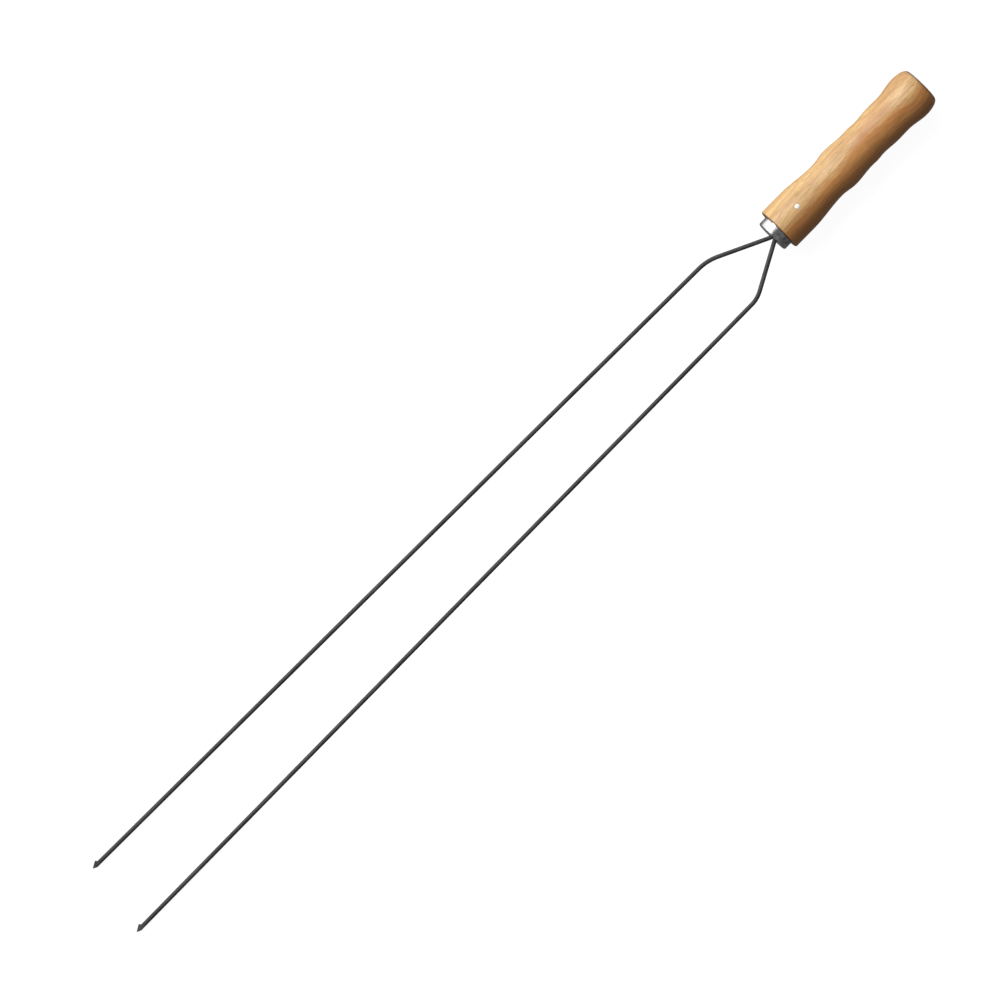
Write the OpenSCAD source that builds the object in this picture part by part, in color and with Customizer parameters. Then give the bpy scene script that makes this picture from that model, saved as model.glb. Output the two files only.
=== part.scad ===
// Two-pronged roasting fork with a turned wooden handle.
// A single steel wire is folded into a hairpin. Its closed end sits in the handle,
// hooked round a cross pin, and its two legs run out through a steel ferrule.
//
// Frame: X runs from the butt of the handle to the points, the prongs lie in the
// XY plane, and the origin is the centre of the flat face at the butt.

/* [Handle] */
// Length of the handle from its butt to the shoulder behind the ferrule
handle_length = 135; // [125:1:150]
// Diameter of the straight drum at the front of the handle
drum_d = 32.4; // [31:0.1:34]
// Diameter at the bottom of the forefinger groove
groove_d = 28.3; // [27:0.1:30]
// Diameter of the ridge between the two grooves
ridge_d = 31; // [30:0.1:33]
// Diameter at the long waist under the palm
waist_d = 28.2; // [27:0.1:30]
// Diameter of the flare in front of the butt
flare_d = 33.2; // [32:0.1:35]
// Diameter of the flat face at the butt
butt_face_d = 24.8; // [20:0.2:27]
// Radius that rounds the front edge of the drum
front_round = 1.2; // [0.5:0.1:2]

/* [Ferrule] */
// Outer diameter of the ferrule
ferrule_d = 24; // [22:0.5:26]
// Length of the ferrule in front of the handle
ferrule_length = 6.6; // [5:0.1:8]
// Thickness of its sheet steel
ferrule_wall = 1; // [0.8:0.1:1.2]

/* [Prongs] */
// Diameter of the steel wire
wire_d = 3; // [2.6:0.1:3.4]
// Distance from the handle's shoulder to the point of the left prong
left_reach = 631; // [590:1:650]
// Distance from the handle's shoulder to the point of the right prong
right_reach = 622; // [590:1:650]
// Distance from the handle's shoulder to the bend at the left prong's shoulder
left_shoulder = 42.7; // [40:0.1:50]
// Distance from the handle's shoulder to the bend at the right prong's shoulder
right_shoulder = 47.8; // [42:0.1:54]
// Distance from the handle's axis to the left prong at its shoulder
left_shoulder_out = 22.2; // [18:0.1:26]
// Distance from the handle's axis to the right prong at its shoulder
right_shoulder_out = 19.8; // [18:0.1:26]
// Distance from the handle's axis to the point of the left prong
left_tip_out = 22.9; // [20:0.1:30]
// Distance from the handle's axis to the point of the right prong
right_tip_out = 27.8; // [20:0.1:30]
// Radius of the left shoulder bend, along the wire's centre
left_bend = 22; // [15:1:45]
// Radius of the right shoulder bend, along the wire's centre
right_bend = 34; // [20:1:60]

/* [Points] */
// Length of the flattened point
point_length = 7; // [6.5:0.5:9]
// Thickness of the point behind its barb
point_thickness = 1.9; // [1.6:0.1:2.2]
// How far the barb stands out from the wire's centre
barb_reach = 2.8; // [2.2:0.1:3.4]

/* [Cross pin] */
// Diameter of the pin's shank
pin_d = 2.4; // [2:0.1:2.8]
// Diameter of the pin's head
pin_head_d = 3.4; // [3:0.1:4]
// Distance from the handle's shoulder back to the pin
pin_setback = 18.7; // [16:0.1:20]

/* [Hidden] */

$fn = 96;
fit_gap = 0.05;
cut_over = 1;
wire_r = wire_d / 2;

// Where the butt's curve meets the flare, and where the drum begins
flare_x = 11;
drum_length = 17;
drum_x = handle_length - drum_length;
drum_r = drum_d / 2;

// The grip's outline as crests and hollows: [distance from the butt, diameter].
// All but the flare keep their distance from the front of the handle, and the two faint
// swells along the waist are stated as so much thicker than the waist itself.
grip_stations = [
    [flare_x, flare_d],
    [handle_length - 108, waist_d + 1.4],
    [handle_length - 99, waist_d + 1.6],
    [handle_length - 85.5, waist_d],
    [handle_length - 79, waist_d + 0.9],
    [handle_length - 74.5, waist_d + 0.6],
    [handle_length - 58, ridge_d],
    [handle_length - 46, groove_d],
    [drum_x, drum_d],
];
grip_step = 1.5;
round_steps = 8;

// The wire is a hair thinner round its bends, whose ends run into the straight stretches
bend_thinning = 0.03;
bend_overlap = 0.2;

// The hairpin: each leg runs beside the pin, and the closed end goes round it
leg_offset = (wire_d + pin_d) / 2 + fit_gap;
hairpin_r = leg_offset + wire_r;
pin_x = handle_length - pin_setback;

// Tenon under the ferrule, and the bore that holds the hairpin
tenon_r = ferrule_d / 2 - ferrule_wall - fit_gap;
tenon_end = handle_length + ferrule_length - ferrule_wall - fit_gap;
tenon_bevel = 0.5;
bore_play = 0.4;
bore_rest = 1.5;
bore_r = hairpin_r + bore_play;
bore_end = pin_x - hairpin_r - bore_rest;

// Ferrule corner radius, and the play of its slot round the wire
ferrule_round = 1.2;
slot_play = 0.2;

// The pin's head is let into the drum and stands a little proud of it, and its foot
// stops short of the drum's far side
head_sink = 0.5;
foot_sink = 0.3;
head_seat = drum_r - head_sink;
head_rim = 0.45;
head_dome = 0.25;
head_sphere_r = (pow(pin_head_d / 2, 2) + pow(head_dome, 2)) / (2 * head_dome);
pin_foot = foot_sink - drum_r;

// The legs leave the pin at small slants, to come out of the ferrule side by side and a
// little to the left of the axis. They spread from bends at the ferrule's face.
neck_bend = 4;
neck_ahead = 0.3;
neck_shift = 0.3;
leg_gap = 0.05;
neck_x = handle_length + ferrule_length + neck_ahead;
left_neck = [neck_x, leg_offset + neck_shift];
right_neck = left_neck - [0, wire_d + leg_gap];
left_slant = slant(left_neck, 1);
right_slant = slant(right_neck, -1);

// Shoulder corners and tips of the prongs
left_corner = [handle_length + left_shoulder, left_shoulder_out];
left_tip = [handle_length + left_reach, left_tip_out];
right_corner = [handle_length + right_shoulder, -right_shoulder_out];
right_tip = [handle_length + right_reach, -right_tip_out];

// Distances back from the tip of a point, and the thickness of that tip
bevel_from_tip = 3;
barb_from_tip = 4.6;
barb_root_from_tip = 5.8;
round_wire_from_tip = 6.4;
tip_thickness = 0.8;

// Direction from a to b in the XY plane
function heading(a, b) = atan2(b[1] - a[1], b[0] - a[0]);

// Signed turn from direction a to direction b, between -180 and 180
function turn(a, b) = (b - a + 540) % 360 - 180;

// Point at a distance from p in a direction
function ahead(p, angle, distance) = p + distance * [cos(angle), sin(angle)];

// Distance from a corner to where its bend begins
function tangent_length(a, b, radius) = radius * tan(abs(turn(a, b)) / 2);

// Direction in which a leg leaves its side of the pin, 1 left or -1 right, to reach a point
function slant(p, side) =
    atan2(p[1], p[0] - pin_x) - side * asin(leg_offset / norm(p - [pin_x, 0]));

// Where a leg with that direction leaves its side of the pin
function leg_start(angle, side) = ahead([pin_x, 0], angle + 90 * side, leg_offset);

// Radius between two stations, blended along half a cosine
function blend(from, to, x) =
    (from[1] + to[1]) / 4
    + (from[1] - to[1]) / 4 * cos(180 * (x - from[0]) / (to[0] - from[0]));

// Outline points from one station up to the next, which is left out
function grip_run(from, to) =
    let (steps = round((to[0] - from[0]) / grip_step))
    [for (i = [0:steps - 1])
        let (x = from[0] + (to[0] - from[0]) * i / steps)
        [x, blend(from, to, x)]];

// Outline points from the flare up to, but not at, the drum
function grip_curve() =
    [for (i = [0:len(grip_stations) - 2])
        each grip_run(grip_stations[i], grip_stations[i + 1])];

// Quarter ellipse from the flat face at the butt up to, but not at, the flare
function butt_curve() =
    [for (i = [0:round_steps - 1])
        let (a = 90 * i / round_steps)
        [flare_x * (1 - cos(a)), (butt_face_d + (flare_d - butt_face_d) * sin(a)) / 2]];

// Quarter round from radius r on the side to radius r - size on a front face at x
function rim(x, r, size) =
    [for (i = [0:round_steps])
        let (a = 90 * i / round_steps)
        [x - size * (1 - sin(a)), r - size * (1 - cos(a))]];

// Solid turned about X from outline points [x, radius]
module turned(outline)
    rotate([0, 90, 0])
        rotate_extrude()
            polygon([for (p = outline) [p[1], p[0]]]);

// Round bar along X or Z
module bar_x(from, to, r)
    translate([from, 0, 0])
        rotate([0, 90, 0])
            cylinder(h = to - from, r = r);

module bar_z(from, to, r)
    translate([0, 0, from])
        cylinder(h = to - from, r = r);

// Straight run of wire between two points in the XY plane
module wire_run(a, b)
    translate([a[0], a[1], 0])
        rotate([0, 90, heading(a, b)])
            cylinder(h = norm(b - a), r = wire_r);

// Bend of the wire about a centre, from one angle through a sweep
module wire_arc(centre, first, sweep, radius) {
    extra = bend_overlap / radius * 180 / PI;
    translate([centre[0], centre[1], 0])
        rotate([0, 0, first - extra])
            rotate_extrude(angle = sweep + 2 * extra)
                translate([radius, 0])
                    circle(r = wire_r - bend_thinning);
}

// Bend of the wire at a corner where its direction changes from a to b
module wire_bend(corner, a, b, radius) {
    side = sign(turn(a, b));
    start = ahead(corner, a, -tangent_length(a, b, radius));
    centre = ahead(start, a + 90 * side, radius);
    first = side > 0 ? a - 90 : b + 90;
    wire_arc(centre, first, abs(turn(a, b)), radius);
}

// Flattened point facing +X with its tip at the origin and its barb towards -Y
module barbed_point() {
    half_t = point_thickness / 2;
    half_tip = tip_thickness / 2;
    intersection() {
        linear_extrude(height = wire_d, center = true)
            polygon([
                [0, 0],
                [-bevel_from_tip, wire_r],
                [-point_length, wire_r],
                [-point_length, -wire_r],
                [-barb_root_from_tip, -wire_r],
                [-barb_from_tip, -barb_reach],
            ]);
        rotate([90, 0, 0])
            linear_extrude(height = 4 * wire_d, center = true)
                polygon([
                    [0, half_tip],
                    [-barb_root_from_tip, half_t],
                    [-point_length, half_t],
                    [-point_length, -half_t],
                    [-barb_root_from_tip, -half_t],
                    [0, -half_tip],
                ]);
    }
}

// One leg of the hairpin: from beside the pin, through its neck and its shoulder, to its tip
module prong(start, root, corner, tip, bend_r) {
    inner = heading(start, root);
    neck = heading(root, corner);
    tine = heading(corner, tip);
    root_cut = tangent_length(inner, neck, neck_bend);
    corner_cut = tangent_length(neck, tine, bend_r);
    wire_run(start, ahead(root, inner, -root_cut));
    wire_bend(root, inner, neck, neck_bend);
    wire_run(ahead(root, neck, root_cut), ahead(corner, neck, -corner_cut));
    wire_bend(corner, neck, tine, bend_r);
    wire_run(ahead(corner, tine, corner_cut), ahead(tip, tine, -round_wire_from_tip));
    translate([tip[0], tip[1], 0])
        rotate([0, 0, tine])
            barbed_point();
}

// Turned handle with a tenon at its front, the tang bore and the pin hole
module handle()
    color("burlywood")
        difference() {
            turned(concat(
                [[0, 0]],
                butt_curve(),
                grip_curve(),
                [[drum_x, drum_r]],
                rim(handle_length, drum_r, front_round),
                [
                    [handle_length, tenon_r],
                    [tenon_end - tenon_bevel, tenon_r],
                    [tenon_end, tenon_r - tenon_bevel],
                    [tenon_end, 0],
                ]
            ));
            bar_x(bore_end, tenon_end + cut_over, bore_r);
            translate([pin_x, 0, 0]) {
                bar_z(-drum_r - cut_over, drum_r + cut_over, pin_d / 2 + fit_gap);
                bar_z(head_seat, drum_r + cut_over, pin_head_d / 2 + fit_gap);
            }
        }

// Drawn steel cup over the tenon, with a slot for both legs of the wire
module ferrule() {
    front = handle_length + ferrule_length;
    outer_r = ferrule_d / 2;
    inner_r = outer_r - ferrule_wall;
    slot_r = wire_r + slot_play;
    color("silver")
        difference() {
            turned(concat(
                [[handle_length, inner_r], [handle_length, outer_r]],
                rim(front, outer_r, ferrule_round),
                [[front, 0], [front - ferrule_wall, 0], [front - ferrule_wall, inner_r]]
            ));
            for (leg = [left_neck, right_neck])
                translate([front, leg[1], 0])
                    bar_x(-2 * ferrule_wall, cut_over, slot_r);
            translate([front - 2 * ferrule_wall, right_neck[1], -slot_r])
                cube([2 * ferrule_wall + cut_over, left_neck[1] - right_neck[1], 2 * slot_r]);
        }
}

// The whole wire: the closed end round the pin and the two prongs
module fork_wire()
    color("dimgray") {
        wire_arc([pin_x, 0], 90 + left_slant, 180 + right_slant - left_slant, leg_offset);
        prong(leg_start(left_slant, 1), left_neck, left_corner, left_tip, left_bend);
        prong(leg_start(right_slant, -1), right_neck, right_corner, right_tip, right_bend);
    }

// Nail across the handle, through the closed end of the wire
module cross_pin()
    color("lightgray")
        translate([pin_x, 0, 0]) {
            bar_z(pin_foot, head_seat + fit_gap, pin_d / 2);
            bar_z(head_seat, head_seat + head_rim, pin_head_d / 2);
            intersection() {
                bar_z(head_seat, head_seat + head_rim + head_dome, pin_head_d / 2);
                translate([0, 0, head_seat + head_rim + head_dome - head_sphere_r])
                    sphere(r = head_sphere_r);
            }
        }

handle();
ferrule();
fork_wire();
cross_pin();
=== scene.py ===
import math

import bmesh
import bpy
from mathutils import Matrix, Vector


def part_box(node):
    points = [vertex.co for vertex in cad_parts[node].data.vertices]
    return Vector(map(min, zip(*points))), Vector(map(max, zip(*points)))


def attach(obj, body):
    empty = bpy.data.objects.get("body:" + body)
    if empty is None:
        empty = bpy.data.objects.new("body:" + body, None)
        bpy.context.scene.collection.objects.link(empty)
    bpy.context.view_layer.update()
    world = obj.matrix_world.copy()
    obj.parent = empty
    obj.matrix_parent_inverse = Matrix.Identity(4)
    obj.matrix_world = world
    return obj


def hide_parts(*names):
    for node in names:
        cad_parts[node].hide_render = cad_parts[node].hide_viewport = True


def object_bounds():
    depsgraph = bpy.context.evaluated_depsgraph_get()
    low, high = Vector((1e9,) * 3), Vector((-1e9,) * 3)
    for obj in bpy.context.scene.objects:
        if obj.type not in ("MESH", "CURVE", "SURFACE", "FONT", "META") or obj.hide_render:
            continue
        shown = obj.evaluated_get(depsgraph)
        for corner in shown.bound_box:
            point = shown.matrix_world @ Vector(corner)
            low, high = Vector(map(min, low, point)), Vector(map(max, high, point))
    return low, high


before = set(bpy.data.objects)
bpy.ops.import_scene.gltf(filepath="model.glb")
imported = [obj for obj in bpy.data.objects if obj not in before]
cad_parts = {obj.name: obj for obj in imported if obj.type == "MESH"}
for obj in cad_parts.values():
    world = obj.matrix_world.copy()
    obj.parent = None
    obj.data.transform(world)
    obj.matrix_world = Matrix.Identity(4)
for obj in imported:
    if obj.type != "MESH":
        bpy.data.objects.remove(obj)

MM = 0.001
CAD_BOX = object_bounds()

# ---------------------------------------------------------------- sizes
# Read from the frame: each node's box gives the driving sizes, in metres.
HANDLE_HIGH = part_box("handle")[1]
FERRULE_LOW, FERRULE_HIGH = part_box("ferrule")
WIRE_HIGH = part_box("fork_wire")[1]
PIN_LOW, PIN_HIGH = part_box("cross_pin")

SHOULDER_X = FERRULE_LOW.x
TENON_END = HANDLE_HIGH.x
FERRULE_END = FERRULE_HIGH.x
FERRULE_R = FERRULE_HIGH.z
WIRE_R = WIRE_HIGH.z
FLARE_R = HANDLE_HIGH.z
PIN_X = (PIN_LOW.x + PIN_HIGH.x) / 2
PIN_HEAD_R = (PIN_HIGH.x - PIN_LOW.x) / 2

# The design's remaining sizes, as the part's source states them.
CLEARANCE = 0.05 * MM
DRUM_R = 16.2 * MM
DRUM_LENGTH = 17 * MM
BUTT_FACE_R = 12.4 * MM
FLARE_X = 11 * MM
FRONT_ROUND = 1.2 * MM
TENON_R = 10.95 * MM
PIN_SHANK_R = 1.2 * MM
PIN_SEAT = DRUM_R - 0.5 * MM
LEG_OFFSET = WIRE_R + PIN_SHANK_R + CLEARANCE
BORE_PLAY = 0.4 * MM
BORE_R = LEG_OFFSET + WIRE_R + BORE_PLAY
SLOT_PLAY = 0.2 * MM
POINT_LENGTH = 7 * MM

# The legs come out of the ferrule side by side, a little to the left of the axis.
NECK_BEND = 4 * MM
NECK_AHEAD = 0.3 * MM
NECK_SHIFT = 0.3 * MM
LEFT_NECK = Vector((FERRULE_END + NECK_AHEAD, LEG_OFFSET + NECK_SHIFT, 0))
RIGHT_NECK = LEFT_NECK - Vector((0, 2 * WIRE_R + CLEARANCE, 0))


def leg_slant(neck, side):
    """Direction in which a leg leaves its side of the pin, 1 left or -1 right."""
    away = neck - Vector((PIN_X, 0, 0))
    return math.atan2(away.y, away.x) - side * math.asin(LEG_OFFSET / away.length)


LEFT_SLANT = leg_slant(LEFT_NECK, 1)
RIGHT_SLANT = leg_slant(RIGHT_NECK, -1)


def leg_start(slant, side):
    """Point beside the pin where a leg's straight run begins."""
    a = slant + side * math.pi / 2
    return Vector((PIN_X + LEG_OFFSET * math.cos(a), LEG_OFFSET * math.sin(a), 0))


# Corners of each prong's centreline, from beside the pin to its tip, and the radius of its
# shoulder bend.
LEFT_CORNERS = [
    leg_start(LEFT_SLANT, 1),
    LEFT_NECK,
    Vector((SHOULDER_X + 42.7 * MM, 22.2 * MM, 0)),
    Vector((SHOULDER_X + 631 * MM, 22.9 * MM, 0)),
]
RIGHT_CORNERS = [
    leg_start(RIGHT_SLANT, -1),
    RIGHT_NECK,
    Vector((SHOULDER_X + 47.8 * MM, -19.8 * MM, 0)),
    Vector((SHOULDER_X + 622 * MM, -27.8 * MM, 0)),
]
LEFT_BEND = 22 * MM
RIGHT_BEND = 34 * MM

# Crests and hollows of the grip: distance from the butt and radius.
GRIP = [
    (FLARE_X, FLARE_R),
    (SHOULDER_X - 108 * MM, 14.8 * MM),
    (SHOULDER_X - 99 * MM, 14.9 * MM),
    (SHOULDER_X - 85.5 * MM, 14.1 * MM),
    (SHOULDER_X - 79 * MM, 14.55 * MM),
    (SHOULDER_X - 74.5 * MM, 14.4 * MM),
    (SHOULDER_X - 58 * MM, 15.5 * MM),
    (SHOULDER_X - 46 * MM, 14.15 * MM),
    (SHOULDER_X - DRUM_LENGTH, DRUM_R),
]

# Edges turned by more than this many degrees stay crisp.
CREASE_ANGLE = 40


# ---------------------------------------------------------------- mesh helpers
def new_piece(name, bm, material, node):
    """Turns a bmesh into a piece that rides on the frame and stands for a CAD node."""
    bmesh.ops.recalc_face_normals(bm, faces=bm.faces)
    mesh = bpy.data.meshes.new(name)
    bm.to_mesh(mesh)
    bm.free()
    for polygon in mesh.polygons:
        polygon.use_smooth = True
    piece = bpy.data.objects.new(name, mesh)
    bpy.context.scene.collection.objects.link(piece)
    mesh.materials.append(material)
    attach(piece, "root")
    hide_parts(node)
    return piece


def lathe(bm, outline, segments):
    """Turns (x, radius) points about X. A point of radius 0 becomes a pole."""
    angles = [2 * math.pi * i / segments for i in range(segments)]
    rings = []
    for x, r in outline:
        if r == 0:
            rings.append([bm.verts.new((x, 0, 0))])
        else:
            rings.append([bm.verts.new((x, r * math.cos(a), r * math.sin(a))) for a in angles])
    for a, b in zip(rings, rings[1:]):
        join_rings(bm, a, b)
    return rings


def join_rings(bm, a, b):
    """Quads between two rings of equal length, or a fan where one is a pole."""
    count = max(len(a), len(b))
    for i in range(count):
        j = (i + 1) % count
        corners = [a[i % len(a)], a[j % len(a)], b[j % len(b)], b[i % len(b)]]
        face = []
        for v in corners:
            if v not in face:
                face.append(v)
        bm.faces.new(face)


def arc(cx, cr, radius, start, end, steps):
    """Points (x, r) along a circular arc, with angles in degrees from +X towards +R."""
    points = []
    for i in range(steps + 1):
        a = math.radians(start + (end - start) * i / steps)
        points.append((cx + radius * math.cos(a), cr + radius * math.sin(a)))
    return points


def line(a, b, steps):
    """Points from a up to, but not at, b."""
    return [
        (a[0] + (b[0] - a[0]) * i / steps, a[1] + (b[1] - a[1]) * i / steps)
        for i in range(steps)
    ]


def cut(piece, *cutters):
    """Bores a piece with other meshes, which are then deleted."""
    for cutter in cutters:
        modifier = piece.modifiers.new("bore", "BOOLEAN")
        modifier.operation = "DIFFERENCE"
        modifier.solver = "EXACT"
        modifier.object = cutter
        graph = bpy.context.evaluated_depsgraph_get()
        mesh = bpy.data.meshes.new_from_object(piece.evaluated_get(graph))
        piece.modifiers.clear()
        old, piece.data = piece.data, mesh
        mesh.name = old.name.split(".")[0]
        bpy.data.meshes.remove(old)
        bpy.data.objects.remove(cutter)


def rod(start, end, radius, segments=48):
    """A loose closed cylinder between two points, used as a cutter."""
    bm = bmesh.new()
    bmesh.ops.create_cone(
        bm, cap_ends=True, segments=segments, radius1=radius, radius2=radius,
        depth=(end - start).length,
    )
    turn = (end - start).to_track_quat("Z", "Y").to_matrix().to_4x4()
    bm.transform(Matrix.Translation((start + end) / 2) @ turn)
    mesh = bpy.data.meshes.new("cutter")
    bm.to_mesh(mesh)
    bm.free()
    cutter = bpy.data.objects.new("cutter", mesh)
    bpy.context.scene.collection.objects.link(cutter)
    return cutter


def smooth_by_angle(piece, degrees):
    """Keeps edges sharper than the angle crisp and shades the rest smooth."""
    limit = math.radians(degrees)
    bm = bmesh.new()
    bm.from_mesh(piece.data)
    for edge in bm.edges:
        edge.smooth = len(edge.link_faces) != 2 or edge.calc_face_angle(0) < limit
    bm.to_mesh(piece.data)
    bm.free()


# ---------------------------------------------------------------- material helpers
class Nodes:
    """A shorthand for building one material's node tree round a Principled shader."""

    def __init__(self, name):
        self.material = bpy.data.materials.new(name)
        self.material.use_nodes = True
        self.tree = self.material.node_tree
        self.tree.nodes.clear()
        self.output = self.add("ShaderNodeOutputMaterial")
        self.shader = self.add("ShaderNodeBsdfPrincipled")
        self.link(self.shader.outputs[0], self.output.inputs["Surface"])
        place = self.add("ShaderNodeTexCoord")
        self.where = place.outputs["Object"]
        self.facing = place.outputs["Normal"]

    def add(self, kind, **values):
        node = self.tree.nodes.new(kind)
        for name, value in values.items():
            setattr(node, name, value)
        return node

    def link(self, source, target):
        self.tree.links.new(source, target)

    def plug(self, socket, value):
        """Links another socket in, or sets a plain value."""
        if isinstance(value, bpy.types.NodeSocket):
            self.link(value, socket)
        else:
            socket.default_value = value

    def axes(self, vector):
        """The X, Y and Z parts of a vector."""
        node = self.add("ShaderNodeSeparateXYZ")
        self.link(vector, node.inputs[0])
        return node.outputs

    def noise(self, scale, offset=(0, 0, 0), detail=4.0, roughness=0.55):
        """Noise over the piece's own coordinates: a larger scale gives shorter features."""
        place = self.add("ShaderNodeMapping")
        self.link(self.where, place.inputs["Vector"])
        place.inputs["Scale"].default_value = scale
        place.inputs["Location"].default_value = offset
        node = self.add("ShaderNodeTexNoise")
        self.link(place.outputs[0], node.inputs["Vector"])
        node.inputs["Scale"].default_value = 1.0
        node.inputs["Detail"].default_value = detail
        node.inputs["Roughness"].default_value = roughness
        return node.outputs[0]

    def math(self, operation, a, b=0.0, clamp=False):
        node = self.add("ShaderNodeMath", operation=operation, use_clamp=clamp)
        for socket, value in zip(node.inputs, (a, b)):
            self.plug(socket, value)
        return node.outputs[0]

    def ramp(self, value, *stops):
        """A colour ramp through (place, colour) stops. A number stands for a grey."""
        node = self.add("ShaderNodeValToRGB")
        self.link(value, node.inputs[0])
        elements = node.color_ramp.elements
        while len(elements) < len(stops):
            elements.new(0.5)
        for element, (place, colour) in zip(elements, stops):
            element.position = place
            rgb = colour if isinstance(colour, tuple) else (colour, colour, colour)
            element.color = (*rgb, 1)
        return node.outputs[0]

    def mix(self, factor, a, b):
        """A colour that goes from a to b as the factor goes from 0 to 1."""
        node = self.add("ShaderNodeMix", data_type="RGBA")
        self.plug(node.inputs["Factor"], factor)
        for name, colour in (("A", a), ("B", b)):
            is_socket = isinstance(colour, bpy.types.NodeSocket)
            self.plug(node.inputs[name], colour if is_socket else (*colour, 1))
        return node.outputs["Result"]

    def remap(self, value, low, high, to_low, to_high):
        """Takes low..high to to_low..to_high in a straight line, and holds beyond both ends."""
        node = self.add("ShaderNodeMapRange")
        for socket, v in zip(node.inputs, (value, low, high, to_low, to_high)):
            self.plug(socket, v)
        return node.outputs[0]

    def bump(self, height, distance, strength):
        node = self.add("ShaderNodeBump")
        self.link(height, node.inputs["Height"])
        node.inputs["Distance"].default_value = distance
        node.inputs["Strength"].default_value = strength
        return node.outputs[0]

    def finish(self, **sockets):
        """Sets the shader's sockets, named with _ for a space, and returns the material."""
        for name, value in sockets.items():
            self.plug(self.shader.inputs[name.replace("_", " ")], value)
        return self.material


# ---------------------------------------------------------------- wood
# Colours are linear. The pairs run from the dark streaks of a wood to its light ones.
HEARTWOOD = ((0.47, 0.185, 0.047), (0.66, 0.300, 0.088))
SAPWOOD = ((0.61, 0.370, 0.146), (0.74, 0.495, 0.222))
DARK_PATCH = (0.37, 0.150, 0.045)
LATE_WOOD = (0.33, 0.130, 0.038)
FIBRE = (0.28, 0.112, 0.034)
PORE = (0.20, 0.080, 0.026)
RAY = (0.17, 0.066, 0.022)
RED_STREAK = (0.42, 0.150, 0.038)
# Dark end-face colour: partly oiled end grain, partly painted shade.
OILED_END_AND_PAINTED_SHADE = (0.085, 0.036, 0.016)

# The tree's own centre lies below and to the left of the billet, and leans further left along
# it. Near the butt it also curves away to the left, from CURVE_START back to CURVE_END.
TREE_Y = 36 * MM
TREE_Z = -24 * MM
TREE_LEAN = 0.02
TREE_CURVE = 3 * MM
CURVE_START = 62 * MM
CURVE_END = 12 * MM
RINGS_PER_METRE = 310
RING_WOBBLE = 20 * MM

# Distances from the tree's centre over which heartwood turns to sapwood.
SAP_START = 53 * MM
SAP_END = 57.4 * MM
SAP_FRAY = 3 * MM

# The red streak's centre line, and how it fades to the sides and to its ends.
STREAK_X = 41 * MM
STREAK_Y = -4.4 * MM
STREAK_HALF_WIDTHS = (0.8 * MM, 3.6 * MM)
STREAK_HALF_LENGTHS = (10 * MM, 20 * MM)


def distance_from_heart(m, x, y, z):
    """How far a point of the billet lies from the middle of the tree."""
    curve = m.remap(x, CURVE_START, CURVE_END, 0.0, TREE_CURVE)
    lean = m.math("ADD", m.math("MULTIPLY", x, TREE_LEAN), curve)
    across = m.math("SUBTRACT", m.math("SUBTRACT", y, TREE_Y), lean)
    below = m.math("SUBTRACT", z, TREE_Z)
    squares = (m.math("MULTIPLY", across, across), m.math("MULTIPLY", below, below))
    return m.math("SQRT", m.math("ADD", *squares))


def grown_wood(m, from_heart):
    """Heartwood and sapwood, with streaks, darker patches and the late wood of each ring."""
    frayed = m.math("MULTIPLY", m.noise((60, 420, 420), (4, 2, 7)), SAP_FRAY)
    sapwood = m.remap(m.math("ADD", from_heart, frayed), SAP_START, SAP_END, 0.0, 1.0)
    streak = m.noise((8, 150, 150), (3, 1, 2), detail=3.0)
    heart = m.ramp(streak, (0.3, HEARTWOOD[0]), (0.7, HEARTWOOD[1]))
    sap = m.ramp(streak, (0.3, SAPWOOD[0]), (0.7, SAPWOOD[1]))
    patch = m.noise((13, 44, 44), (1, 5, 2), detail=2.0)
    in_ring = m.math("FRACT", m.math("MULTIPLY", from_heart, RINGS_PER_METRE))
    late_wood = m.ramp(in_ring, (0.0, 0.0), (0.6, 0.3), (0.88, 1.0), (1.0, 0.0))
    base = m.mix(sapwood, heart, sap)
    base = m.mix(m.remap(patch, 0.5, 0.72, 0.0, 0.4), base, DARK_PATCH)
    return m.mix(m.math("MULTIPLY", late_wood, 0.32), base, LATE_WOOD)


def red_streak(m, base, x, y, wobble):
    """A redder streak along the palm's side, which ends short of the butt."""
    off_line = m.math("ABSOLUTE", m.math("ADD", m.math("SUBTRACT", y, STREAK_Y), wobble))
    off_middle = m.math("ABSOLUTE", m.math("SUBTRACT", x, STREAK_X))
    across = m.remap(off_line, *STREAK_HALF_WIDTHS, 0.46, 0.0)
    along = m.remap(off_middle, *STREAK_HALF_LENGTHS, 1.0, 0.0)
    return m.mix(m.math("MULTIPLY", across, along), base, RED_STREAK)


def oiled_ends_and_painted_shade(m, base):
    """Both ends are darker than the sides: partly because end grain drinks more oil, partly painted
    shade on the end faces.
    """
    endwise = m.math("ABSOLUTE", m.axes(m.facing)["X"])
    end_face_mask = m.remap(endwise, 0.42, 0.85, 0.0, 1.0)
    # Partly painted shade: the end faces are darkened by how far they face along X.
    return m.mix(m.math("MULTIPLY", end_face_mask, 0.85), base, OILED_END_AND_PAINTED_SHADE)


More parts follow.
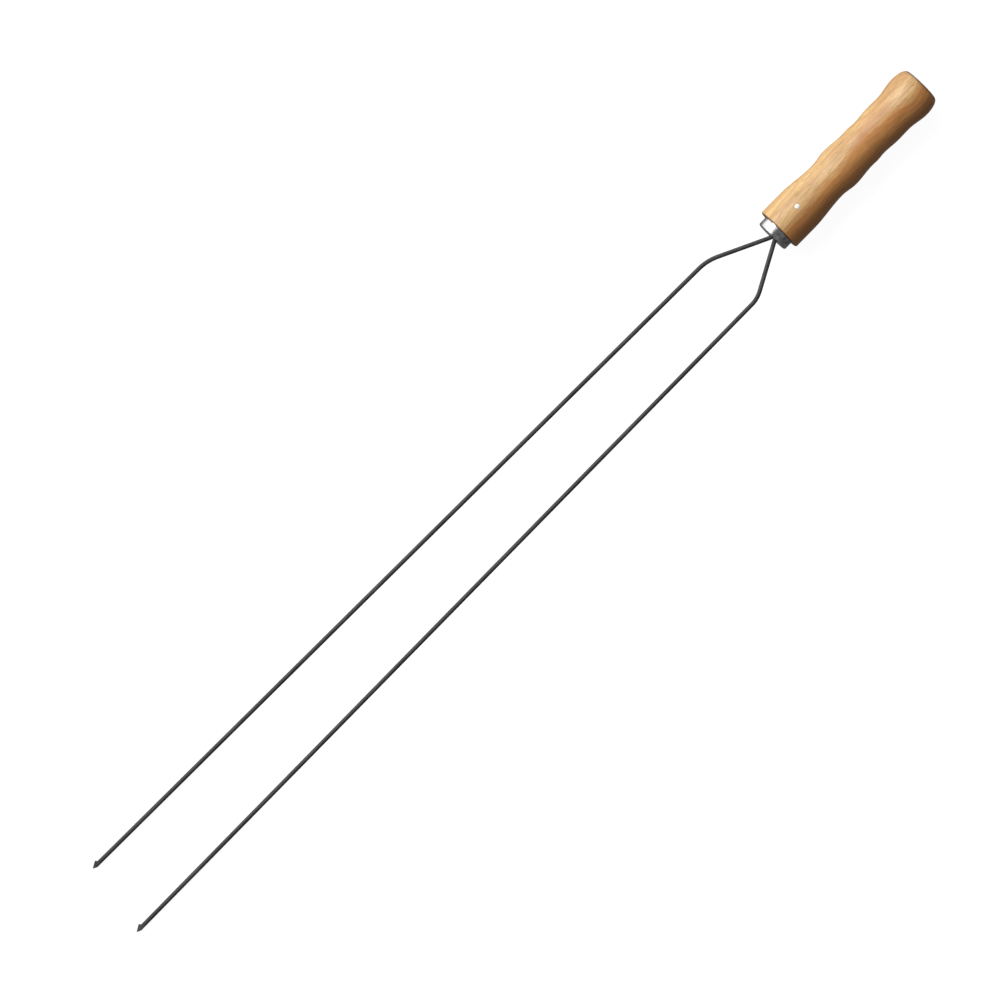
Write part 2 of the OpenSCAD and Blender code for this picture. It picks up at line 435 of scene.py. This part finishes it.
def wood_material():
    """Turned beech: growth rings cut by the turning, long fibres, short dark rays, satin oil."""
    m = Nodes("turned_beech")
    x, y, z = m.axes(m.where)
    sway = m.noise((11, 26, 26), detail=2.0)
    wobble = m.math("MULTIPLY", m.math("SUBTRACT", sway, 0.5), RING_WOBBLE)
    base = grown_wood(m, m.math("ADD", distance_from_heart(m, x, y, z), wobble))

    fibre = m.noise((26, 800, 800), detail=5.0, roughness=0.65)
    pores = m.noise((75, 900, 900), (2, 3, 1), detail=2.0)
    pore_mark = m.remap(pores, 0.6, 0.7, 0.0, 1.0)
    rays = m.noise((420, 2600, 2600), detail=1.0)
    ray_mark = m.remap(rays, 0.64, 0.71, 0.0, 1.0)
    base = m.mix(m.remap(fibre, 0.4, 0.72, 0.0, 0.45), base, FIBRE)
    base = m.mix(m.math("MULTIPLY", pore_mark, 0.4), base, PORE)
    base = m.mix(m.math("MULTIPLY", ray_mark, 0.45), base, RAY)
    base = red_streak(m, base, x, y, wobble)
    base = oiled_ends_and_painted_shade(m, base)

    relief = m.math("ADD", m.math("MULTIPLY", fibre, 0.6), m.math("MULTIPLY", ray_mark, -0.5))
    return m.finish(
        Base_Color=base, Roughness=m.remap(fibre, 0.25, 0.8, 0.42, 0.58),
        Normal=m.bump(relief, 0.1 * MM, 0.6), Specular_IOR_Level=0.5,
        Coat_Weight=0.2, Coat_Roughness=0.38,
    )


# ---------------------------------------------------------------- metals and floor
def wire_material():
    """Dark drawn spring wire: fine draw lines along it, cloudy oxide, and darker specks."""
    m = Nodes("dark_drawn_wire")
    lines = m.noise((60, 5200, 5200), detail=3.0)
    cloud = m.noise((70, 240, 240), detail=4.0)
    specks = m.noise((900, 1500, 1500), detail=2.0)
    base = m.ramp(cloud, (0.3, (0.038, 0.038, 0.040)), (0.7, (0.078, 0.077, 0.076)))
    base = m.mix(m.remap(specks, 0.6, 0.78, 0.0, 0.5), base, (0.020, 0.019, 0.019))
    base = m.mix(m.remap(lines, 0.55, 0.8, 0.0, 0.2), base, (0.10, 0.10, 0.10))
    rough = m.remap(cloud, 0.3, 0.75, 0.5, 0.66)
    return m.finish(
        Base_Color=base, Metallic=0.35, Roughness=rough, Normal=m.bump(lines, 0.02 * MM, 0.5),
        Specular_IOR_Level=0.2,
    )


def ferrule_painted_shade(m):
    """Painted shade on the ferrule: how much darker its left (+Y) side is, spotted, on that side
    only, and in two bands.
    """
    right_edge, left_edge = -2 * MM, 10 * MM
    over_side = m.remap(m.axes(m.where)["Y"], right_edge, left_edge, 0.0, 1.0)
    bands = m.ramp(
        over_side, (0.14, 0.0), (0.24, 0.4), (0.36, 0.0), (0.62, 0.0), (0.84, 0.55), (1.0, 0.5)
    )
    spots = m.noise((520, 520, 520), (3, 1, 4), detail=3.0)
    spread = m.remap(spots, 0.38, 0.62, 0.36, -0.15)
    spotted = m.math("MULTIPLY", m.remap(over_side, 0.14, 0.24, 0.0, 1.0), spread)
    return m.math("ADD", bands, spotted, clamp=True)


def ferrule_material():
    """Polished drawn steel, with faint turning lines round it, smears, and painted shade on its
    left (+Y) side.
    """
    m = Nodes("polished_ferrule_steel")
    turning = m.noise((5200, 90, 90), detail=2.0)
    smear = m.noise((230, 230, 230), detail=4.0)
    base = m.ramp(smear, (0.36, (0.52, 0.52, 0.53)), (0.56, (0.92, 0.92, 0.915)))
    # Painted shade: darkens the ferrule's left (+Y) side in two bands and spots.
    base = m.mix(ferrule_painted_shade(m), base, (0.16, 0.16, 0.17))
    rough = m.math(
        "ADD", m.remap(smear, 0.3, 0.75, 0.1, 0.24), m.remap(turning, 0.4, 0.8, 0.0, 0.06)
    )
    return m.finish(
        Base_Color=base, Metallic=1.0, Roughness=rough, Normal=m.bump(turning, 0.012 * MM, 0.5)
    )


def pin_material():
    """Bright nail steel with a lightly hammered head."""
    m = Nodes("bright_nail_steel")
    dents = m.noise((900, 900, 900), detail=2.0)
    smear = m.noise((400, 400, 400), (2, 0, 1), detail=3.0)
    base = m.ramp(smear, (0.3, (0.80, 0.78, 0.74)), (0.7, (0.92, 0.90, 0.86)))
    rough = m.remap(smear, 0.3, 0.8, 0.5, 0.65)
    return m.finish(
        Base_Color=base, Metallic=0.5, Roughness=rough, Normal=m.bump(dents, 0.06 * MM, 0.4)
    )


def floor_material():
    """A pale sheet lit from below: its white is mostly its own glow, so shadows stay faint."""
    m = Nodes("pale_floor")
    cloud = m.noise((3, 3, 3), detail=2.0)
    base = m.ramp(cloud, (0.3, (0.10, 0.10, 0.10)), (0.7, (0.12, 0.12, 0.12)))
    return m.finish(
        Base_Color=base, Roughness=0.9, Emission_Color=(1, 1, 1, 1), Emission_Strength=0.95
    )


# ---------------------------------------------------------------- handle
def blend_radius(a, b, x):
    """Radius at x between two stations, along half a cosine."""
    t = (x - a[0]) / (b[0] - a[0])
    return (a[1] + b[1]) / 2 + (a[1] - b[1]) / 2 * math.cos(math.pi * t)


def grip_points(step):
    """The waves of the grip, from the flare to the start of the drum."""
    points = []
    for a, b in zip(GRIP, GRIP[1:]):
        count = round((b[0] - a[0]) / step)
        for i in range(count):
            x = a[0] + (b[0] - a[0]) * i / count
            points.append((x, blend_radius(a, b, x)))
    return points


def butt_points(steps):
    """The butt's flat face and the quarter ellipse that rounds it into the flare."""
    face_steps = 8
    points = line((0, 0), (0, BUTT_FACE_R), face_steps)
    for i in range(steps):
        a = math.pi / 2 * i / steps
        rise = (FLARE_R - BUTT_FACE_R) * math.sin(a)
        points.append((FLARE_X * (1 - math.cos(a)), BUTT_FACE_R + rise))
    return points


def front_points():
    """The drum, its rounded front edge, the shoulder and the tenon, back to the axis."""
    drum_steps, round_steps, shoulder_steps = 34, 8, 5
    chamfer = 0.5 * MM
    front_x, front_r = SHOULDER_X - FRONT_ROUND, DRUM_R - FRONT_ROUND
    first_inset = 0.3 * MM
    points = line((SHOULDER_X - DRUM_LENGTH, DRUM_R), (front_x, DRUM_R), drum_steps)
    points += arc(front_x, front_r, FRONT_ROUND, 90, 0, round_steps)
    points += line((SHOULDER_X, front_r - first_inset), (SHOULDER_X, TENON_R), shoulder_steps)
    points += [(SHOULDER_X, TENON_R), (TENON_END - chamfer, TENON_R)]
    points += [(TENON_END, TENON_R - chamfer)]
    # A ring just outside the bore leaves even faces where the bore is cut.
    points += [(TENON_END, BORE_R * 1.5), (TENON_END, 0)]
    return points


def build_handle():
    """The turned handle, with its tang bore, pin hole and the seat for the pin's head."""
    segments, butt_steps, grip_step = 160, 26, 0.6 * MM
    bm = bmesh.new()
    lathe(bm, butt_points(butt_steps) + grip_points(grip_step) + front_points(), segments)
    handle = new_piece("turned_handle", bm, wood_material(), "handle")
    past = 2 * MM
    beyond_wire = 1.5 * MM
    bore_end = PIN_X - LEG_OFFSET - WIRE_R - beyond_wire
    above = Vector((PIN_X, 0, DRUM_R + past))
    below = Vector((PIN_X, 0, -DRUM_R - past))
    seat = Vector((PIN_X, 0, PIN_SEAT))
    cut(
        handle,
        rod(Vector((bore_end, 0, 0)), Vector((TENON_END + past, 0, 0)), BORE_R),
        rod(below, above, PIN_SHANK_R + CLEARANCE, segments=32),
        rod(seat, above, PIN_HEAD_R + CLEARANCE),
    )
    smooth_by_angle(handle, CREASE_ANGLE)
    return handle


# ---------------------------------------------------------------- ferrule
def slot_point(angle, half_length, radius):
    """Where a ray at this angle from the slot's centre meets its round-ended outline."""
    c, s = math.cos(angle), math.sin(angle)
    if abs(s) > 1e-9 and abs(c) * radius / abs(s) <= half_length:
        scale = radius / abs(s)
        return scale * c, scale * s
    centre = math.copysign(half_length, c)
    dot = centre * c
    reach = dot + math.sqrt(max(0.0, dot * dot - half_length ** 2 + radius ** 2))
    return reach * c, reach * s


def slot_ring(bm, x, grow, segments):
    """The slot's outline round both legs at one depth, widened by grow."""
    middle = (LEFT_NECK.y + RIGHT_NECK.y) / 2
    half = (LEFT_NECK.y - RIGHT_NECK.y) / 2
    ring = []
    for i in range(segments):
        y, z = slot_point(2 * math.pi * i / segments, half, WIRE_R + SLOT_PLAY + grow)
        ring.append(bm.verts.new((x, middle + y, z)))
    return ring


def ferrule_outlines(wall, lip):
    """(x, radius) points of the cup's outside and inside, each from the shoulder to its front."""
    corner = 1.2 * MM
    corner_steps, outer_steps, inner_steps, lip_steps = 12, 6, 4, 4
    inner_r = FERRULE_R - wall
    back_face = FERRULE_END - wall
    face_rings = [FERRULE_R * share for share in (0.78, 0.66)]
    side = SHOULDER_X + 2 * lip
    outside = [(SHOULDER_X, inner_r + lip), (SHOULDER_X, FERRULE_R - lip)]
    outside += arc(SHOULDER_X + lip, FERRULE_R - lip, lip, 180, 90, lip_steps)[1:]
    outside += line((side, FERRULE_R), (FERRULE_END - corner, FERRULE_R), outer_steps)
    outside += arc(FERRULE_END - corner, FERRULE_R - corner, corner, 90, 0, corner_steps)
    outside += [(FERRULE_END, r) for r in face_rings]
    inside = [(SHOULDER_X + lip, inner_r)]
    inside += line((side, inner_r), (back_face, inner_r), inner_steps)
    inside += [(back_face, r) for r in [inner_r] + face_rings]
    return outside, inside


def build_ferrule():
    """A cup with a slotted front: both outlines turned, then joined round the slot."""
    segments = 144
    wall = 1.0 * MM
    lip = 0.18 * MM
    outside, inside = ferrule_outlines(wall, lip)
    bm = bmesh.new()
    outer = lathe(bm, outside, segments)
    inner = lathe(bm, inside, segments)
    rim = slot_ring(bm, FERRULE_END, lip, segments)
    front_edge = slot_ring(bm, FERRULE_END - lip, 0, segments)
    back_edge = slot_ring(bm, FERRULE_END - wall, 0, segments)
    join_rings(bm, outer[0], inner[0])
    for a, b in ((outer[-1], rim), (rim, front_edge), (front_edge, back_edge)):
        join_rings(bm, a, b)
    join_rings(bm, back_edge, inner[-1])
    ferrule = new_piece("drawn_ferrule", bm, ferrule_material(), "ferrule")
    smooth_by_angle(ferrule, CREASE_ANGLE)
    return ferrule


# ---------------------------------------------------------------- wire
ROUND = (WIRE_R, WIRE_R, WIRE_R)


def fillet(points, radii, step):
    """A polyline in the XY plane with each inner corner rounded to its radius, as points."""
    fewest = 6
    path = [points[0]]
    for i in range(1, len(points) - 1):
        before = (points[i] - points[i - 1]).normalized()
        after = (points[i + 1] - points[i]).normalized()
        turn = before.angle(after)
        reach = radii[i - 1] * math.tan(turn / 2)
        start, end = points[i] - before * reach, points[i] + after * reach
        centre = start + (after - before * before.dot(after)).normalized() * radii[i - 1]
        count = max(fewest, math.ceil(turn * radii[i - 1] / step))
        for k in range(count + 1):
            t = k / count
            a = math.sin(turn * (1 - t)) / math.sin(turn)
            b = math.sin(turn * t) / math.sin(turn)
            path.append(centre + (start - centre) * a + (end - centre) * b)
    path.append(points[-1])
    return path


def resample(path, longest):
    """Splits the long straight stretches of a path."""
    points = [path[0]]
    for a, b in zip(path, path[1:]):
        count = max(1, math.ceil((b - a).length / longest))
        points += [a.lerp(b, i / count) for i in range(1, count + 1)]
    return points


def ease(a, b, t):
    """From a to b with level ends, as t goes from 0 to 1."""
    t = min(max(t, 0.0), 1.0)
    return a + (b - a) * t * t * (3 - 2 * t)


def tip_section(back):
    """Half widths (barb side, plain side) and half thickness at a distance back from the tip."""
    bevel_at, barb_at, root_at = 3.0 * MM, 4.6 * MM, 5.8 * MM
    barb_out, half_tip, half_thick = 2.8 * MM, 0.4 * MM, 0.95 * MM
    barb_curve, plain_curve = 0.92, 0.85
    least = 0.12 * MM
    if back >= root_at:
        barb = WIRE_R
        thick = ease(half_thick, WIRE_R, (back - root_at) / (POINT_LENGTH - root_at))
    elif back >= barb_at:
        barb = barb_out + (WIRE_R - barb_out) * (back - barb_at) / (root_at - barb_at)
        thick = half_thick
    else:
        barb = barb_out * (back / barb_at) ** barb_curve
        thick = half_tip + (half_thick - half_tip) * back / barb_at
    plain = WIRE_R * min(1.0, back / bevel_at) ** plain_curve
    return max(barb, least), max(plain, least), thick


def tip_stations():
    """Distances back from a tip at which the section changes."""
    stations = [0.0, 0.15, 0.4, 0.8, 1.3, 1.8, 2.4, 3.0, 3.5, 4.0, 4.3, 4.52, 4.6]
    stations += [4.75, 5.0, 5.3, 5.6, 5.8, 6.0, 6.3, 6.6]
    return [s * MM for s in stations]


def ring_at(bm, place, along, section, segments, power=1.0):
    """One cross-section: widths differ on the two sides, and power squares it off."""
    barb, plain, thick = section
    side = Vector((along.y, -along.x, 0)).normalized()
    ring = []
    for i in range(segments):
        a = 2 * math.pi * i / segments
        c, s = math.cos(a), math.sin(a)
        u = math.copysign(abs(c) ** power, c)
        v = math.copysign(abs(s) ** power, s)
        width = barb if u > 0 else plain
        ring.append(bm.verts.new(place + side * (u * width) + Vector((0, 0, v * thick))))
    return ring


def leg_rings(bm, corners, bend, segments):
    """Round rings along one leg, from beside the pin to the root of its point."""
    start, neck, shoulder, tip = corners
    bend_step, longest = 0.8 * MM, 12 * MM
    last = (tip - shoulder).normalized()
    path = fillet([start, neck, shoulder, tip - last * POINT_LENGTH], [NECK_BEND, bend], bend_step)
    path = resample(path, longest)
    ways = [(b - a).normalized() for a, b in zip(path, path[2:])]
    ways = [(path[1] - path[0]).normalized()] + ways + [last]
    return [ring_at(bm, p, way, ROUND, segments) for p, way in zip(path, ways)]


def point_rings(bm, corners, segments):
    """Rings of one barbed point, which grows flatter and squarer towards its tip."""
    shoulder, tip = corners[-2:]
    along = (tip - shoulder).normalized()
    squareness, fade = 0.35, 1.5 * MM
    rings = []
    for back in reversed(tip_stations()):
        flat = min(1.0, (POINT_LENGTH - back) / fade)
        power = 1.0 - squareness * flat
        place = tip - along * back
        rings.append(ring_at(bm, place, along, tip_section(back), segments, power))
    return rings


def add_leg(bm, corners, bend, segments):
    """One leg and its point, closed at the tip. Returns the ring beside the pin."""
    rings = leg_rings(bm, corners, bend, segments) + point_rings(bm, corners, segments)
    for a, b in zip(rings, rings[1:]):
        join_rings(bm, a, b)
    bm.faces.new(rings[-1])
    return rings[0]


def build_wire():
    """Both legs and the closed end of the hairpin, which passes behind the pin."""
    segments, steps = 24, 20
    bm = bmesh.new()
    left = add_leg(bm, LEFT_CORNERS, LEFT_BEND, segments)
    right = add_leg(bm, RIGHT_CORNERS, RIGHT_BEND, segments)
    previous = left
    for i in range(1, steps):
        a = LEFT_SLANT + (math.pi + RIGHT_SLANT - LEFT_SLANT) * i / steps
        place = Vector((PIN_X - LEG_OFFSET * math.sin(a), LEG_OFFSET * math.cos(a), 0))
        along = Vector((math.cos(a), math.sin(a), 0))
        ring = ring_at(bm, place, along, ROUND, segments)
        join_rings(bm, previous, ring)
        previous = ring
    # The right leg runs the other way round the hairpin, so its ring is met half a turn on.
    turned = [right[(segments // 2 - i) % segments] for i in range(segments)]
    join_rings(bm, previous, turned)
    return new_piece("folded_wire", bm, wire_material(), "fork_wire")


# ---------------------------------------------------------------- pin
def build_pin():
    """The nail: shank, flat head with a rounded rim and a low dome."""
    segments, dome_steps = 64, 8
    top, foot = PIN_HIGH.z, PIN_LOW.z
    chamfer = 0.2 * MM
    soft = 0.12 * MM
    rim_top = PIN_SEAT + 0.45 * MM
    dome = top - rim_top
    sphere_r = (PIN_HEAD_R ** 2 + dome ** 2) / (2 * dome)
    outline = [(foot, 0), (foot, PIN_SHANK_R - chamfer), (foot + chamfer, PIN_SHANK_R)]
    outline += [(PIN_SEAT, PIN_SHANK_R), (PIN_SEAT, PIN_HEAD_R - soft)]
    outline += [(PIN_SEAT + soft, PIN_HEAD_R), (rim_top - soft, PIN_HEAD_R)]
    for i in range(dome_steps):
        r = (PIN_HEAD_R - soft / 2) * (1 - i / dome_steps)
        drop = sphere_r - math.sqrt(sphere_r ** 2 - r ** 2)
        outline.append((top - drop, r))
    outline.append((top, 0))
    bm = bmesh.new()
    lathe(bm, outline, segments)
    bm.transform(Matrix.Rotation(math.radians(-90), 4, "Y"))
    bm.transform(Matrix.Translation((PIN_X, 0, 0)))
    pin = new_piece("nail", bm, pin_material(), "cross_pin")
    smooth_by_angle(pin, CREASE_ANGLE)
    return pin


# ---------------------------------------------------------------- stage
def add_floor():
    """The fork lies on its drum and its points, so the floor passes just under both."""
    front = Vector((SHOULDER_X - FRONT_ROUND, 0, -DRUM_R))
    points = Vector((WIRE_HIGH.x - POINT_LENGTH, 0, -WIRE_R))
    slope = math.atan2(points.z - front.z, points.x - front.x)
    size = 12.0
    bm = bmesh.new()
    bmesh.ops.create_grid(bm, x_segments=8, y_segments=8, size=size)
    bm.transform(Matrix.Translation(front) @ Matrix.Rotation(-slope, 4, "Y"))
    mesh = bpy.data.meshes.new("floor")
    bm.to_mesh(mesh)
    bm.free()
    floor = bpy.data.objects.new("floor", mesh)
    bpy.context.scene.collection.objects.link(floor)
    mesh.materials.append(floor_material())
    # The sheet doesn't bounce light back: the fork's lower side stays as dark as the studio.
    floor.visible_diffuse = False
    floor.visible_glossy = False


def add_light(name, azimuth, elevation, distance, size, watts, target):
    """A soft area light, placed round the fork and aimed at a point."""
    a, e = math.radians(azimuth), math.radians(elevation)
    back = Vector((math.sin(a) * math.cos(e), -math.cos(a) * math.cos(e), math.sin(e)))
    data = bpy.data.lights.new(name, "AREA")
    data.shape = "RECTANGLE"
    data.size, data.size_y = size
    data.energy = watts
    light = bpy.data.objects.new(name, data)
    light.location = target + back * distance
    light.rotation_mode = "QUATERNION"
    light.rotation_quaternion = (-back).to_track_quat("-Z", "Y")
    bpy.context.scene.collection.objects.link(light)


def add_fade(tree, value, start, end):
    """A smooth rise from 0 to 1 as a value goes from start to end."""
    node = tree.nodes.new("ShaderNodeMapRange")
    node.interpolation_type = "SMOOTHSTEP"
    tree.links.new(value, node.inputs["Value"])
    node.inputs["From Min"].default_value = start
    node.inputs["From Max"].default_value = end
    return node.outputs[0]


def add_studio():
    """A room with a white wall on the -Y side, dim on the +Y side and under the fork."""
    dim = 0.155
    world = bpy.data.worlds.new("studio")
    world.use_nodes = True
    tree = world.node_tree
    where = tree.nodes.new("ShaderNodeTexCoord")
    split = tree.nodes.new("ShaderNodeSeparateXYZ")
    tree.links.new(where.outputs["Generated"], split.inputs[0])
    wall = add_fade(tree, split.outputs["Y"], 0.05, -0.4)
    above_floor = add_fade(tree, split.outputs["Z"], -0.65, 0.0)
    strength = tree.nodes.new("ShaderNodeMath")
    strength.operation = "MULTIPLY_ADD"
    tree.links.new(wall, strength.inputs[0])
    tree.links.new(above_floor, strength.inputs[1])
    strength.inputs[2].default_value = dim
    background = tree.nodes["Background"]
    tree.links.new(strength.outputs[0], background.inputs["Strength"])
    background.inputs["Color"].default_value = (1, 1, 1, 1)
    bpy.context.scene.world = world


def add_lights():
    """One large soft key light from the white wall's side, and the room itself."""
    centre = (CAD_BOX[0] + CAD_BOX[1]) / 2
    add_light(
        "key", azimuth=0, elevation=52, distance=2.2, size=(1.6, 1.0), watts=37, target=centre
    )
    add_studio()
    bpy.context.scene.view_settings.view_transform = "Standard"


def add_camera():
    """A long lens looking nearly straight down, with the fork lying corner to corner."""
    distance = 3.985
    heading = math.radians(224.74)
    tilt = 0.13
    aim = Vector((0.39261, -0.00631, 0))
    back = Vector((0, tilt, 1)).normalized()
    right = Vector((math.cos(heading), math.sin(heading), 0)).cross(back).normalized()
    up = back.cross(right)
    data = bpy.data.cameras.new("camera")
    data.sensor_width = 36
    data.lens = 216
    data.clip_start, data.clip_end = 0.05, 60
    camera = bpy.data.objects.new("camera", data)
    camera.location = aim + back * distance
    camera.rotation_mode = "QUATERNION"
    camera.rotation_quaternion = Matrix((right, up, back)).transposed().to_quaternion()
    bpy.context.scene.collection.objects.link(camera)
    bpy.context.scene.camera = camera


# ---------------------------------------------------------------- the scene
build_handle()
build_ferrule()
build_wire()
build_pin()
add_floor()
add_lights()
add_camera()
